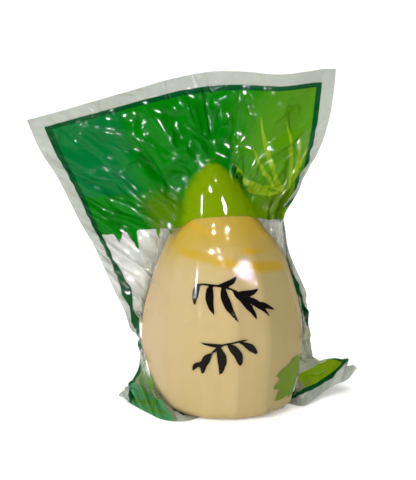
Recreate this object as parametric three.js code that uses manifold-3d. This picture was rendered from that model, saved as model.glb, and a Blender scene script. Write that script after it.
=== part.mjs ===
// A peeled, boiled winter bamboo shoot, vacuum-packed in a flat three-side-seal pouch.
// Millimetres, +Z up. The shoot stands on its cut base, X runs across the pouch and -Y is its front.
// The origin is on the underside of the film, below the middle of the cut base.
import * as THREE from "three";
import { mergeVertices } from "three/addons/utils/BufferGeometryUtils.js";
import Module from "manifold-3d";

// Shoot
const shootHeight = 134; // cut base to tip
const shootHalfWidth = 43.5; // at the belly
const depthRatio = 0.88; // depth over width: a winter shoot is a little flat
const tipLean = new THREE.Vector2(-8.6, 3); // how far the tip leans to the left and back
const leanBend = 1.6; // above 1, the lean grows towards the tip
// Where two knife cuts meet, in degrees from the front.
const facetEdges = [-45, -5, 28, 66, 104, 140, 176, 212, 247, 281];
const facetSoftness = 26; // higher is a crisper edge between two knife cuts
const facetFadeStart = 78; // height where the knife cuts begin to fade into the round tip
const facetFadeEnd = 112;
const shootSides = 60;
const shootRows = 26;

// Half width over height above the cut base, as shares of shootHalfWidth and shootHeight.
const shootProfile = [
  [0.8, 0],
  [0.862, 0.012],
  [0.905, 0.05],
  [1.0, 0.29],
  [0.925, 0.47],
  [0.745, 0.635],
  [0.475, 0.775],
  [0.345, 0.885],
  [0.17, 0.965],
  [0, 1],
];

// Pouch
const filmThickness = 0.6;
const filmGap = 0.6; // between the film and what it lies against
const leastGap = 0.3; // the same, between two cuts of the facets
const sealSpread = 0.6; // how far each web stands off the middle of the seal
const coreStart = 30; // the way out from the shoot is measured from its axis, above this height
const webColumns = 28;
const webRows = 36;
const roughPasses = 700; // that hold only the film's points off the shoot
const finePasses = 250; // that hold its facet edges off too
const clearPasses = 50; // with no tightening
const overRelax = 1.3; // above 1, the skins settle sooner
const openDepth = 75; // how far the webs start from each other's middle
const baseHeight = filmThickness + filmGap; // the cut base stands on the film

// The outer edge of the seal, each side from one corner of the pouch to the next.
const bottomLeft = [-59.3, 0, 3.2]; // tip of the left ear
const bottomRight = [75.8, 18, 13.2]; // tip of the right ear
const topLeft = [-103.5, -8, 157.3];
const topRight = [58.3, 5, 182.9];
const bottomSeal = [
  bottomLeft,
  [-56, -2, 2.5],
  [-51.5, -7, 0.8],
  [-44, -12, 0.3],
  [-32, -10, 0.3],
  [-15, 1, 0.3],
  [2, 5, 0.3],
  [20, 4, 0.3],
  [34, -2, 0.3],
  [44, -4, 0.6],
  [50.5, 0, 2.2],
  [56.4, 6, 4],
  [62.4, 9, 6.2],
  [69.7, 13, 8.2],
  bottomRight,
];
const topSeal = [
  topLeft,
  [-84.2, -7, 162.4],
  [-66.6, -5, 167.4],
  [-48.5, -1, 172.3],
  [-30.8, 4, 177.2],
  [-13.4, 8, 180.6],
  [-1.8, 7, 181.7],
  [12.9, 2, 181.5],
  [23, -4, 180.8],
  [32.3, -6, 180.9],
  [44, -2, 182.2],
  topRight,
];
const leftSeal = [
  bottomLeft,
  [-54.5, 7, 7.5],
  [-50, 12, 13.5],
  [-48.7, 13, 21],
  [-48.5, 9, 29],
  [-49.5, 3, 37],
  [-52.5, 0, 43],
  [-55, -2, 53],
  [-60.1, -4, 65],
  [-69.2, -6, 87.5],
  [-77.8, -7, 104],
  [-87.7, -8, 125.7],
  [-97.2, -8, 141.6],
  topLeft,
];
const rightSeal = [
  bottomRight,
  [71.7, 22, 17.6],
  [65, 25, 18.3],
  [58, 27, 18.6],
  [52.5, 27, 23],
  [49.3, 23, 33],
  [48, 15, 43],
  [47, 10, 53],
  [44.4, 8, 61.7],
  [39, 5, 73.8],
  [34.2, 2, 85.7],
  [32.3, 0, 97.2],
  [32.1, -1, 105.6],
  [34.1, -2, 114],
  [40.7, -3, 124.9],
  [49.5, -2, 140.8],
  [54.8, 1, 156.4],
  [57.4, 4, 171.9],
  topRight,
];

const radians = THREE.MathUtils.degToRad;
const smoothstep = THREE.MathUtils.smoothstep;

// ---- shoot ----

const profilePoints = new THREE.SplineCurve(
  shootProfile.map(([width, height]) => new THREE.Vector2(width * shootHalfWidth, height * shootHeight)),
).getPoints(240);

function halfWidthAt(height) {
  const next = profilePoints.findIndex((p) => p.y >= height);
  if (next <= 0) return next === 0 ? profilePoints[0].x : 0;
  const [low, high] = [profilePoints[next - 1], profilePoints[next]];
  const share = (height - low.y) / Math.max(high.y - low.y, 1e-6);
  return Math.max(THREE.MathUtils.lerp(low.x, high.x, share), 0);
}

function axisAt(height) {
  const share = THREE.MathUtils.clamp(height / shootHeight, 0, 1) ** leanBend;
  return new THREE.Vector2(tipLean.x * share, tipLean.y * share);
}

// The normal of each knife cut lies midway between its two edges, and its distance is set by the edges.
const facets = facetEdges.map((edge, i) => {
  const next = facetEdges[(i + 1) % facetEdges.length] + (i + 1 === facetEdges.length ? 360 : 0);
  return { normal: radians((edge + next) / 2), distance: Math.cos(radians((next - edge) / 2)) };
});

// Radius of the section over its half width, at an angle from the front: a softened polygon.
function facetRadius(angle, height) {
  const sum = facets.reduce((total, facet) => {
    const reach = Math.max(Math.cos(angle - facet.normal), 0) / facet.distance;
    return total + reach ** facetSoftness;
  }, 0);
  const fade = smoothstep(height, facetFadeStart, facetFadeEnd);
  return THREE.MathUtils.lerp(sum ** (-1 / facetSoftness), 0.97, fade);
}

// A point on the shoot: angle 0 is the front, and it grows towards the right.
function shootPoint(angle, height, out = 0) {
  const centre = axisAt(height);
  const radius = halfWidthAt(height) * facetRadius(angle, height) + out;
  return new THREE.Vector3(
    centre.x + radius * Math.sin(angle),
    centre.y - radius * Math.cos(angle) * depthRatio,
    baseHeight + height,
  );
}

// Indices of a closed skin over rings of points, with a pole at each end.
function skinIndices(rings, sides) {
  const indices = [];
  const at = (ring, side) => 1 + ring * sides + (side % sides);
  const last = 1 + rings * sides;
  for (let side = 0; side < sides; side++) {
    indices.push(0, at(0, side + 1), at(0, side));
    for (let ring = 0; ring < rings - 1; ring++) {
      indices.push(at(ring, side), at(ring, side + 1), at(ring + 1, side + 1));
      indices.push(at(ring, side), at(ring + 1, side + 1), at(ring + 1, side));
    }
    indices.push(last, at(rings - 1, side), at(rings - 1, side + 1));
  }
  return indices;
}

function geometryOf(points, indices) {
  const geometry = new THREE.BufferGeometry().setFromPoints(points);
  geometry.setIndex(indices);
  geometry.computeVertexNormals();
  return geometry;
}

// The rings follow the profile by its own length, so that they are even round the rim and the tip.
function shootGeometry(out = 0) {
  const lengths = profilePoints.map((p, i) => (i ? p.distanceTo(profilePoints[i - 1]) : 0));
  lengths.forEach((length, i) => (lengths[i] += i ? lengths[i - 1] : 0));
  const total = lengths.at(-1);
  const points = [new THREE.Vector3(axisAt(0).x, axisAt(0).y, baseHeight - out)];
  const rings = shootRows;
  for (let ring = 0; ring < rings; ring++) {
    const wanted = (total * (ring + 0.001)) / rings;
    const at = lengths.findIndex((length) => length >= wanted);
    for (let side = 0; side < shootSides; side++) {
      const point = shootPoint((2 * Math.PI * side) / shootSides, profilePoints[at].y, out);
      if (ring === 0) point.z = baseHeight - out;
      points.push(point);
    }
  }
  points.push(shootPoint(0, shootHeight).setZ(baseHeight + shootHeight + out));
  return geometryOf(points, skinIndices(rings, shootSides));
}

// ---- pouch ----

// turn is 1 or -1, so that the way across each edge leads to the front web.
const edgeThrough = (points, turn) => {
  const vectors = points.map((p) => new THREE.Vector3(...p));
  return { curve: new THREE.CatmullRomCurve3(vectors, false, "centripetal"), turn };
};
const seal = {
  bottom: edgeThrough(bottomSeal, -1),
  top: edgeThrough(topSeal, 1),
  left: edgeThrough(leftSeal, 1),
  right: edgeThrough(rightSeal, -1),
};

// Across the seal, from its middle towards the front web: square to the edge and to the way out
// from the shoot.
function towardsFront(edge, share) {
  const point = edge.curve.getPointAt(share);
  const height = THREE.MathUtils.clamp(point.z - baseHeight, coreStart, shootHeight);
  const centre = axisAt(height);
  const out = point.sub(new THREE.Vector3(centre.x, centre.y, baseHeight + height));
  return edge.curve.getTangentAt(share).cross(out).normalize().multiplyScalar(edge.turn);
}

function sealPoint(edge, share, side) {
  const point = edge.curve.getPointAt(share).addScaledVector(towardsFront(edge, share), sealSpread * side);
  settle(point);
  return point;
}

// Moves a point of the film's middle surface out of the shoot, by the nearest of its side and its base.
function clearOfShoot(point) {
  const stand = filmGap + filmThickness / 2;
  const height = point.z - baseHeight;
  if (height < -stand || height > shootHeight + stand) return;
  const inside = THREE.MathUtils.clamp(height, 0, shootHeight);
  const centre = axisAt(inside);
  const [x, y] = [point.x - centre.x, (point.y - centre.y) / depthRatio];
  const radius = Math.hypot(x, y);
  const surface = halfWidthAt(inside) * facetRadius(Math.atan2(x, -y), inside) + stand;
  if (radius >= surface) return;
  if (height + stand < surface - radius) {
    point.z = baseHeight - stand;
    return;
  }
  const grow = surface / Math.max(radius, 1e-3);
  point.x = centre.x + x * grow;
  point.y = centre.y + y * grow * depthRatio;
}

// The first shape of one web, side 1 for the front and -1 for the back: on the seal at its edges,
// and well clear of the shoot inside them.
function openWeb(side) {
  const rows = [];
  for (let row = 0; row <= webRows; row++) {
    const v = row / webRows;
    rows.push([]);
    for (let column = 0; column <= webColumns; column++) {
      const u = column / webColumns;
      if (row % webRows === 0) {
        rows[row].push(sealPoint(row ? seal.top : seal.bottom, u, side));
      } else if (column % webColumns === 0) {
        rows[row].push(sealPoint(column ? seal.right : seal.left, v, side));
      } else {
        const point = seal.left.curve.getPointAt(v).lerp(seal.right.curve.getPointAt(v), u);
        point.y -= side * openDepth * Math.sin(Math.PI * u) * Math.sin(Math.PI * v) ** 0.5;
        rows[row].push(point);
      }
    }
  }
  return rows;
}

function normalAt(rows, row, column) {
  const line = rows[row];
  const across = (line[column + 1] ?? line[column]).clone().sub(line[column - 1] ?? line[column]);
  const up = (rows[row + 1] ?? rows[row])[column].clone().sub((rows[row - 1] ?? rows[row])[column]);
  return across.cross(up).normalize();
}

function settle(point) {
  clearOfShoot(point);
  point.z = Math.max(point.z, filmThickness / 2);
}

// Holds the facet edge between two points off the shoot, by moving both of them.
function clearEdge(one, other) {
  for (const share of [0.25, 0.5, 0.75]) {
    const before = one.clone().lerp(other, share);
    const after = before.clone();
    clearOfShoot(after);
    after.sub(before);
    one.add(after);
    other.add(after);
  }
}

// Holds a whole web off the shoot and the floor, by its points alone or by its facet edges too.
function clearWeb(rows, withEdges) {
  for (let row = 1; row < webRows; row++) {
    for (let column = 1; column < webColumns; column++) {
      const point = rows[row][column];
      if (withEdges) {
        clearEdge(point, rows[row - 1][column]);
        clearEdge(point, rows[row][column - 1]);
        clearEdge(point, rows[row - 1][column - 1]);
      }
      settle(point);
    }
  }
}

// Holds the two webs as far apart as they are at the seal. Under the shoot they lead away from each other.
function partWebs(frontRows, backRows) {
  for (let row = 1; row < webRows; row++) {
    for (let column = 1; column < webColumns; column++) {
      const [front, back] = [frontRows[row][column], backRows[row][column]];
      const normal = normalAt(frontRows, row, column).add(normalAt(backRows, row, column));
      if (normal.length() < 1) continue;
      const short = 2 * sealSpread - front.clone().sub(back).dot(normal.normalize());
      if (short <= 0) continue;
      front.addScaledVector(normal, short / 2);
      back.addScaledVector(normal, -short / 2);
    }
  }
}

function tightenWeb(rows) {
  for (let row = 1; row < webRows; row++) {
    for (let column = 1; column < webColumns; column++) {
      const mean = rows[row - 1][column].clone();
      mean.add(rows[row + 1][column]).add(rows[row][column - 1]).add(rows[row][column + 1]);
      rows[row][column].lerp(mean.multiplyScalar(0.25), overRelax);
    }
  }
}

// The middle surfaces of both webs: tight skins that hang on the seal and are held off the shoot
// and the floor.
function drapeWebs() {
  const webs = [openWeb(1), openWeb(-1)];
  for (let pass = 0; pass < roughPasses + finePasses + clearPasses; pass++) {
    if (pass < roughPasses + finePasses) webs.forEach(tightenWeb);
    partWebs(...webs);
    webs.forEach((rows) => clearWeb(rows, pass >= roughPasses));
  }
  return webs;
}

// Gives a web its thickness: one skin of points on each face, closed round the seal.
function filmGeometry(rows, side, thickness = filmThickness) {
  const faces = [1, -1].map((face) =>
    rows.flatMap((line, row) =>
      line.map((point, column) => {
        const away = (face * side * thickness) / 2;
        const out = point.clone().addScaledVector(normalAt(rows, row, column), away);
        out.z = Math.max(out.z, 0);
        return out;
      }),
    ),
  );
  const [width, height] = [webColumns + 1, webRows + 1];
  const count = width * height;
  const indices = [];
  const quad = (a, b, c, d) => indices.push(a, b, c, a, c, d);
  for (let row = 0; row < webRows; row++) {
    for (let column = 0; column < webColumns; column++) {
      const a = row * width + column;
      quad(a, a + 1, a + 1 + width, a + width);
      quad(count + a, count + a + width, count + a + 1 + width, count + a + 1);
    }
  }
  for (let column = 0; column < webColumns; column++) {
    const [low, high] = [column, webRows * width + column];
    quad(low, count + low, count + low + 1, low + 1);
    quad(high, high + 1, count + high + 1, count + high);
  }
  for (let row = 0; row < webRows; row++) {
    const [left, right] = [row * width, row * width + webColumns];
    quad(left, left + width, count + left + width, count + left);
    quad(right, count + right, count + right + width, right + width);
  }
  if (side < 0) indices.reverse();
  return geometryOf(faces.flat(), indices);
}

// ---- joining and cutting ----

const wasm = await Module();
wasm.setup();

function solidOf(geometry) {
  const bare = geometry.clone();
  bare.deleteAttribute("normal");
  const merged = mergeVertices(bare, 1e-4);
  return new wasm.Manifold(
    new wasm.Mesh({
      numProp: 3,
      vertProperties: merged.attributes.position.array,
      triVerts: new Uint32Array(merged.index.array),
    }),
  );
}

function geometryFrom(solid) {
  const mesh = solid.getMesh();
  const geometry = new THREE.BufferGeometry();
  geometry.setAttribute("position", new THREE.BufferAttribute(mesh.vertProperties, 3));
  geometry.setIndex(new THREE.BufferAttribute(mesh.triVerts, 1));
  geometry.computeVertexNormals();
  return geometry;
}

const materials = {
  shoot: new THREE.MeshStandardMaterial({ color: 0xe2c68d, roughness: 0.5, metalness: 0 }),
  film: new THREE.MeshStandardMaterial({ color: 0x3f8f2f, roughness: 0.2, metalness: 0 }),
};

function meshOf(name, geometry, material) {
  const mesh = new THREE.Mesh(geometry, material);
  mesh.name = name;
  return mesh;
}

const pack = new THREE.Group();
pack.add(meshOf("shoot", shootGeometry(), materials.shoot));
const kept = solidOf(shootGeometry(leastGap));
const [frontWeb, backWeb] = drapeWebs();
const largest = (solid) => solid.decompose().sort((a, b) => b.volume() - a.volume())[0];
const front = largest(solidOf(filmGeometry(frontWeb, 1)).subtract(kept));
const clearOfFront = solidOf(filmGeometry(frontWeb, 1, filmThickness + 2 * leastGap));
const back = largest(solidOf(filmGeometry(backWeb, -1)).subtract(kept).subtract(clearOfFront));
pack.add(meshOf("front_film", geometryFrom(front), materials.film));
pack.add(meshOf("back_film", geometryFrom(back), materials.film));

export default pack;
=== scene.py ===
# Vacuum-packed bamboo shoot: the peeled shoot and the clear printed pouch that is shrunk on to it.
import bmesh
import bpy
import math
import numpy as np
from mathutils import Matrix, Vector
from mathutils.bvhtree import BVHTree
from mathutils.noise import noise as noiseAt


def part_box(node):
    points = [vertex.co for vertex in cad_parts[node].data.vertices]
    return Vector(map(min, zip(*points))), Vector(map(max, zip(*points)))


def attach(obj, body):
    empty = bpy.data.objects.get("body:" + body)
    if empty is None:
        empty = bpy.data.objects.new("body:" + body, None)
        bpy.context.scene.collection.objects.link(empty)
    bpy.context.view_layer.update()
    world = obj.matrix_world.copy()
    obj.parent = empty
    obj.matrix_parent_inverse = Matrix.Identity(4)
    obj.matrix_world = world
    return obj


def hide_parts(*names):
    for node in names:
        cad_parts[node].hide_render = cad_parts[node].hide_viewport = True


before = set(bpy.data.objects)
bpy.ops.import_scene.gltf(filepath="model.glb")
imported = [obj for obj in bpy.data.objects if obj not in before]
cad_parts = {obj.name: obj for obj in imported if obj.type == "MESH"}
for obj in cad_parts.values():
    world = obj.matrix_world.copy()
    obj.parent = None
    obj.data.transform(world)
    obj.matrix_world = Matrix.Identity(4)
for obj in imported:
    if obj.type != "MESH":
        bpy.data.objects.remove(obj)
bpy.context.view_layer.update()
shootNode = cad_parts["shoot"]


def node(tree, kind, inputs=None, **settings):
    made = tree.nodes.new("ShaderNode" + kind)
    for name, value in settings.items():
        setattr(made, name, value)
    for name, value in (inputs or {}).items():
        if isinstance(value, bpy.types.NodeSocket):
            tree.links.new(value, made.inputs[name])
        else:
            made.inputs[name].default_value = value
    return made


def maths(tree, operation, *values):
    return node(tree, "Math", dict(enumerate(values)), operation=operation).outputs[0]


def plus(tree, first, second):
    return maths(tree, "ADD", first, second)


def minus(tree, first, second):
    return maths(tree, "SUBTRACT", first, second)


def times(tree, product, *factors):
    for factor in factors:
        product = maths(tree, "MULTIPLY", product, factor)
    return product


def without(tree, value):
    return minus(tree, 1.0, value)


def blend(tree, share, first, second, way="MIX"):
    return node(tree, "Mix", {0: share, 6: first, 7: second}, data_type="RGBA", blend_type=way).outputs[2]


def rise(tree, value, low, high):
    return node(tree, "MapRange", {0: value, 1: low, 2: high}, interpolation_type="SMOOTHSTEP").outputs[0]


def noise(tree, place, scale, detail=2.0, rough=0.5, distortion=0.0):
    return node(tree, "TexNoise", {"Vector": place, "Scale": scale, "Detail": detail, "Roughness": rough,
                                   "Distortion": distortion}).outputs[0]


# Where a mark is kept on the mesh as a distance, 1 inside its outline and 0 outside.
def mark(tree, name, soft=0.12):
    value = node(tree, "Attribute", attribute_name=name).outputs["Fac"]
    return rise(tree, value, -soft, soft)


def newMaterial(name):
    material = bpy.data.materials.new(name)
    material.use_nodes = True
    tree = material.node_tree
    return material, tree, tree.nodes["Principled BSDF"]


# The shoot's flesh. Angles are in degrees from the front, and grow to the right. Lengths are in metres from
# here to the pouch.
flesh = {
    "cuts": (-45, -17, 9, 33, 66, 104, 140, 176, 212, 247, 281),  # where two knife cuts meet
    "softness": 90,                      # of the edges between them: higher is crisper
    "madeCuts": (-45, -5, 28, 66, 104, 140, 176, 212, 247, 281),  # the same, as they come with the frame
    "madeSoftness": 26,
    "fade": (0.078, 0.112),              # heights between which the cuts fade into the round tip
    "tipReach": 0.97,
    "depthRatio": 0.88,
    "lean": (-0.0086, 0.003),            # of the tip, from above the middle of the base
    "leanBend": 1.6,
    "dents": (0.0004, 70.0),             # depth, and how many to a metre
    "flutes": (0.00018, 260.0, 18.0),    # depth, and how many to a metre across and up
    "rimHeight": 0.004,                  # the flat cut base stays flat, and the flesh is full above this
    # where the flesh stands out or in: angle, height, spread up and down, and how far
    "swells": ((88, 0.084, 0.026, 0.0028), (92, 0.038, 0.024, 0.0026), (-92, 0.088, 0.022, -0.0018),
               (-92, 0.034, 0.022, 0.0018)),
    "swellTurn": 1.3,                    # how far round they reach
    "axisClear": 1e-4,                   # points nearer to the axis stay
    "rimAngle": 38,                      # edges sharper than this stay sharp
    "merge": 1e-5,
    "divide": 2,
}

fleshFinish = {
    "cream": (0.51, 0.387, 0.180, 1),
    "warm": (0.45, 0.305, 0.022, 1),     # towards the tip
    "pink": (0.51, 0.388, 0.225, 1),     # the left side
    # the right side is a darker, greyer olive: painted shade where less light falls
    "olive": (0.44, 0.350, 0.150, 1),    # the right side
    "yellow": (0.50, 0.310, 0.0, 1),     # bands
    "pinkFrom": (-0.018, -0.040),        # where each starts and is full
    "oliveFrom": (0.010, 0.032),
    "warmFrom": (0.076, 0.100),
    "sway": (45.0, 0.012),               # how the colours wander: how many to a metre, and how far
    # painted shade of the cuts, darker on the right where less light falls, each from its edge above
    "tones": (0.97, 1.0, 0.90, 0.82, 0.80, 0.92, 1.0, 0.93, 1.0, 0.95, 0.98),
    "toneEdge": 1.2,
    "tonesFade": (0.085, 0.105),
    # height at the middle, fall per metre to the right, half width, left end and right end
    "bands": ((0.0855, -0.18, 0.0040, -0.0245, 0.0340), (0.0975, -0.30, 0.0034, -0.0210, -0.0050),
              (0.0915, -0.10, 0.0026, 0.0080, 0.0190)),
    "bandSway": 0.4,
    "bandCore": 0.2,                     # the share of the half width that is full
    "bandStart": (-0.003, 0.004),        # how a band fades in and out at its ends, and round the side
    "bandEnd": (0.008, -0.010),
    "bandFront": (0.004, -0.004),
    "bandStrength": 0.40,
    "mottle": (60.0, 3.0),               # how many to a metre, and its detail
    "mottleTint": (0.86, 0.75, 0.50, 1),
    "mottleShare": 0.25,
    "fibres": (900.0, 0.12),             # how many to a metre, and the share of that upwards
    "fibreHeight": 0.1,
    "bump": (0.25, 0.0006),
    "shine": {"Roughness": 0.55, "Specular IOR Level": 0.06, "Subsurface Weight": 0.12,
              "Subsurface Radius": (0.005, 0.003, 0.0015)},
}


def smooth(value, low, high):
    share = np.clip((value - low) / (high - low), 0, 1)
    return share * share * (3 - 2 * share)


def shootAxis(height, tall):
    share = np.clip(height / tall, 0, 1) ** flesh["leanBend"]
    return flesh["lean"][0] * share, flesh["lean"][1] * share


# Radius of the section over its half width: a polygon of knife cuts with softened corners.
def cutRadius(angle, height, cuts, softness):
    edges = np.radians(cuts)
    following = np.append(edges[1:], edges[0] + 2 * math.pi)
    reach = np.cos(angle[:, None] - (edges + following) / 2).clip(0) / np.cos((following - edges) / 2)
    fade = smooth(height, *flesh["fade"])
    return (1 - fade) * (reach**softness).sum(1) ** (-1 / softness) + fade * flesh["tipReach"]


def swellAt(angle, height):
    out = 0
    for turn, middle, spread, most in flesh["swells"]:
        beside = np.cos((angle - math.radians(turn)) / flesh["swellTurn"]).clip(0) ** 2
        out = out + most * np.exp(-((height - middle) / spread) ** 2) * beside
    return out


def carveShoot(mesh, base, tall):
    points = np.array([vert.co for vert in mesh.verts])
    height = points[:, 2] - base
    cx, cy = shootAxis(height, tall)
    dx, dy = points[:, 0] - cx, points[:, 1] - cy
    angle = np.arctan2(dx, -dy / flesh["depthRatio"])
    grow = (cutRadius(angle, height, flesh["cuts"], flesh["softness"])
            / cutRadius(angle, height, flesh["madeCuts"], flesh["madeSoftness"]))
    dentDepth, dentScale = flesh["dents"]
    fluteDepth, fluteAcross, fluteUp = flesh["flutes"]
    side = np.clip(height / flesh["rimHeight"], 0, 1)
    swell = swellAt(angle, height)
    for vert, ratio, x, y, share, out in zip(mesh.verts, grow, dx, dy, side, swell):
        radius = math.hypot(x, y)
        if radius < flesh["axisClear"]:
            continue
        dent = noiseAt(vert.co * dentScale) * dentDepth
        fluted = Vector((vert.co.x * fluteAcross, vert.co.y * fluteAcross, vert.co.z * fluteUp))
        flute = noiseAt(fluted) * fluteDepth
        stretch = ratio - 1 + (share * (dent + flute) + out) / radius
        vert.co.x += x * stretch
        vert.co.y += y * stretch


def newPiece(name, mesh):
    data = bpy.data.meshes.new(name)
    mesh.to_mesh(data)
    mesh.free()
    piece = bpy.data.objects.new(name, data)
    bpy.context.scene.collection.objects.link(piece)
    return piece


def shootPiece(source):
    low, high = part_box("shoot")
    mesh = bmesh.new()
    mesh.from_mesh(source.data)
    bmesh.ops.remove_doubles(mesh, verts=mesh.verts, dist=flesh["merge"])
    bmesh.ops.recalc_face_normals(mesh, faces=mesh.faces)
    bmesh.ops.subdivide_edges(mesh, edges=mesh.edges, cuts=flesh["divide"], use_grid_fill=True)
    carveShoot(mesh, low.z, high.z - low.z)
    for face in mesh.faces:
        face.smooth = True
    for edge in mesh.edges:
        edge.smooth = edge.calc_face_angle(0) < math.radians(flesh["rimAngle"])
    return newPiece("shootFlesh", mesh)


# Each knife cut is painted lighter or darker by how it faces the light, as painted shade that fades out
# towards the round tip.
def paintedCutShade(tree, x, y, z):
    angle = maths(tree, "ARCTAN2", x, times(tree, y, -1 / flesh["depthRatio"]))
    share = maths(tree, "FRACT", maths(tree, "DIVIDE", plus(tree, angle, 2 * math.pi), 2 * math.pi))
    turn = times(tree, share, 360.0)
    tones, soft = fleshFinish["tones"], fleshFinish["toneEdge"]
    steps = sorted((edge % 360, tones[i - 1], tones[i]) for i, edge in enumerate(flesh["cuts"]))
    cutShadeFactor = steps[0][1]
    for edge, before, after in steps:
        cutShadeFactor = plus(tree, cutShadeFactor, times(tree, rise(tree, turn, edge - soft, edge + soft), after - before))
    high = rise(tree, z, *fleshFinish["tonesFade"])
    return plus(tree, times(tree, cutShadeFactor, without(tree, high)), high)


def bandShare(tree, band, x, y, z, sway):
    look = fleshFinish
    height, slope, half, start, end = band
    line = plus(tree, times(tree, x, slope), height)
    off = maths(tree, "ABSOLUTE", minus(tree, plus(tree, z, times(tree, sway, look["bandSway"])), line))
    begins = rise(tree, x, *(start + fade for fade in look["bandStart"]))
    stops = rise(tree, x, *(end + fade for fade in look["bandEnd"]))
    front = rise(tree, y, *look["bandFront"])
    return times(tree, rise(tree, off, half, half * look["bandCore"]), times(tree, begins, stops, front))


def fleshMaterial():
    material, tree, shader = newMaterial("shootFlesh")
    look = fleshFinish
    place = node(tree, "TexCoord").outputs["Object"]
    x, y, z = node(tree, "SeparateXYZ", {0: place}).outputs
    mottle = noise(tree, place, *look["mottle"])
    swayScale, swayReach = look["sway"]
    sway = times(tree, minus(tree, noise(tree, place, swayScale), 0.5), swayReach)
    across = plus(tree, x, sway)
    colour = blend(tree, rise(tree, across, *look["pinkFrom"]), look["cream"], look["pink"])
    # painted shade: towards the right the flesh turns to the darker olive
    colour = blend(tree, rise(tree, across, *look["oliveFrom"]), colour, look["olive"])
    colour = blend(tree, rise(tree, plus(tree, z, sway), *look["warmFrom"]), colour, look["warm"])
    strength = plus(tree, look["bandStrength"], mottle)
    for band in look["bands"]:
        share = times(tree, bandShare(tree, band, x, y, z, sway), strength)
        colour = blend(tree, share, colour, look["yellow"])
    colour = blend(tree, times(tree, mottle, look["mottleShare"]), colour, look["mottleTint"], "MULTIPLY")
    # painted shade of the knife cuts, multiplied into the flesh colour
    cutShadeFactor = paintedCutShade(tree, x, y, z)
    grey = node(tree, "CombineColor", {0: cutShadeFactor, 1: cutShadeFactor, 2: cutShadeFactor}).outputs[0]
    colour = blend(tree, 1.0, colour, grey, "MULTIPLY")
    fibreScale, fibreUp = look["fibres"]
    grain = node(tree, "Mapping", {0: place, 3: (1.0, 1.0, fibreUp)}).outputs[0]
    height = plus(tree, times(tree, noise(tree, grain, fibreScale), look["fibreHeight"]), mottle)
    strength, distance = look["bump"]
    bump = node(tree, "Bump", {"Height": height, "Strength": strength, "Distance": distance}).outputs[0]
    tree.links.new(colour, shader.inputs["Base Color"])
    tree.links.new(bump, shader.inputs["Normal"])
    for socket, value in look["shine"].items():
        shader.inputs[socket].default_value = value
    return material


shootFlesh = shootPiece(shootNode)
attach(shootFlesh, "root")
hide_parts("shoot")
shootFlesh.data.materials.append(fleshMaterial())
print("shoot", len(shootFlesh.data.polygons), "faces")


# The pouch's film, draped as a cloth. Lengths are in millimetres, as the pouch was cut, and the frame is in
# metres.
pouch = {
    "width": 174.0,
    "length": 226.0,
    "cells": (44, 58),        # across and up, in the first and roughest drape
    "steps": (150, 130, 70),  # of each drape; each next one halves the cells
    "sweeps": 5,
    "tautSteps": 160,         # the film is first drawn taut, like a soap skin
    "taut": 0.62,             # the share of its cut size that it is drawn to
    "touching": 0.8,          # film nearer than this to the shoot is tight on it
    "clear": 7.0,             # and has its full spare length this much further out
    "tight": -0.01,
    "spareAcross": 0.075,     # how much longer than taut the film ends up, which makes its folds
    "spareUp": 0.045,
    "suction": 0.05,          # how far the vacuum pulls the film in a step
    "damping": 0.92,
    "bend": 0.12,
    "squeeze": 0.5,           # how much the film resists being shortened, against 1 for stretched
    "shear": 0.5,             # and being pulled askew
    "openBy": 64.0,           # how far out each web starts at its middle
    "facing": 1.0,            # the webs count as face to face where their ways add up to more
    "standOff": 0.40,         # film to shoot
    "webGap": 0.25,           # front web to back web
    "sealWidth": 7.0,
    "floor": 0.15,
    "ruffle": (1.6, 0.3, 0.1),  # random start of each drape, so that the film can buckle
    "seed": 7,
}

# The outer edge of the pouch where it lies now, each side from one corner to the next.
bottomLeft = (-59.3, 0, 3.2)
bottomRight = (75.8, 18, 13.2)
topLeft = (-103.5, -8, 157.3)
topRight = (58.3, 5, 182.9)
sealPath = {
    "bottom": [
        bottomLeft, (-56, -2, 2.5), (-51.8, -6, 0.8), (-46.5, -13, 0.3), (-40.5, -21, 0.3), (-34.7, -28, 0.3),
        (-28, -31.5, 0.3), (-20, -31, 0.3), (-12, -24, 0.3), (-3, -10, 0.3), (7, 2, 0.3), (20, 6, 0.3),
        (34, -4, 0.3), (43, -9, 0.4), (50.2, -2, 1.9), (56.4, 5, 4), (62.4, 9, 6.2), (69.7, 13, 7.7),
        bottomRight],
    "top": [
        topLeft, (-84.2, -7, 162.4), (-66.6, -5, 167.4), (-48.5, -1, 172.3), (-30.8, 4, 177.2),
        (-13.4, 8, 180.6), (-1.8, 7, 181.7), (12.9, 2, 181.5), (23, -4, 180.8), (32.3, -6, 180.9),
        (44, -2, 182.2), (51.2, 2, 183), topRight],
    "left": [
        bottomLeft, (-54.5, 7, 7.5), (-50, 12, 13.5), (-48.7, 13, 21), (-48.5, 9, 29), (-49.5, 3, 37),
        (-52.1, 0, 42.3), (-55, -2, 53.1), (-60.1, -4, 64.9), (-69.2, -6, 87.5), (-77.8, -7, 104.1),
        (-87.7, -8, 125.7), (-97.2, -8, 141.6), topLeft],
    "right": [
        bottomRight, (71.7, 22, 17.6), (65, 25, 18.3), (58.5, 27, 16.4), (53.2, 28, 14), (50.2, 27.5, 16),
        (49, 26, 21.5), (48.7, 23, 29), (48.6, 19, 37), (48.4, 15, 44), (47.5, 12, 52.6), (44.6, 12, 61.7),
        (39.2, 12, 73.8), (34.3, 10, 85.7), (32.6, 6, 97.2), (32.1, 1, 105.6), (34.1, -2, 114),
        (40.7, -3, 124.9), (49.5, -2, 140.8), (54.8, 1, 156.4), (57.4, 4, 171.9), topRight],
}

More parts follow.
